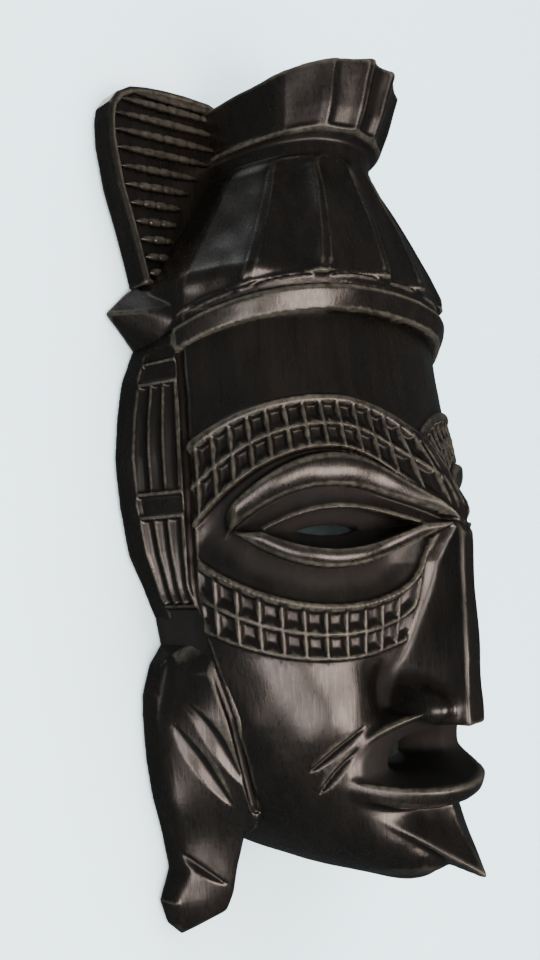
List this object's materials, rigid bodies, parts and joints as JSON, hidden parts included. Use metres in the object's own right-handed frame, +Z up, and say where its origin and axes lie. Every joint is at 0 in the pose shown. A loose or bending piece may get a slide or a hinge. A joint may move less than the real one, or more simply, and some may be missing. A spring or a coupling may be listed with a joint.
{
  "type": "carved wooden wall mask",
  "caption": "Dark carved wooden wall mask with long nose, ringed eyes, open mouth, tied-up hair, side fins and a hollow back with a hanging ring.",
  "frame": {"origin": "the point on the plane of the flat back where a wall nail carries the raised hanging ring, on the mask's centre line", "axes": "+Z up through the topknot, -Y out of the face, +Y out of the flat back towards the wall, X across the face"},
  "size_m": [0.2, 0.108, 0.381],
  "materials": {
    "dark_wood": "black-brown stain, wax polished",
    "zinc_steel": "dull zinc plate"
  },
  "bodies": {
    "mask": {"carved_mask": "dark_wood", "hanger_strap": "zinc_steel", "hanger_screw_upper": "zinc_steel", "hanger_screw_lower": "zinc_steel"},
    "ring": {"hanger_ring": "zinc_steel"}
  },
  "joints": [
    {"name": "ring_swing", "type": "hinge", "parent": "mask", "child": "ring", "pos_m": [0, -0.0038, -0.014], "axis": [1, 0, 0], "range_deg": [0, 180]}
  ]
}
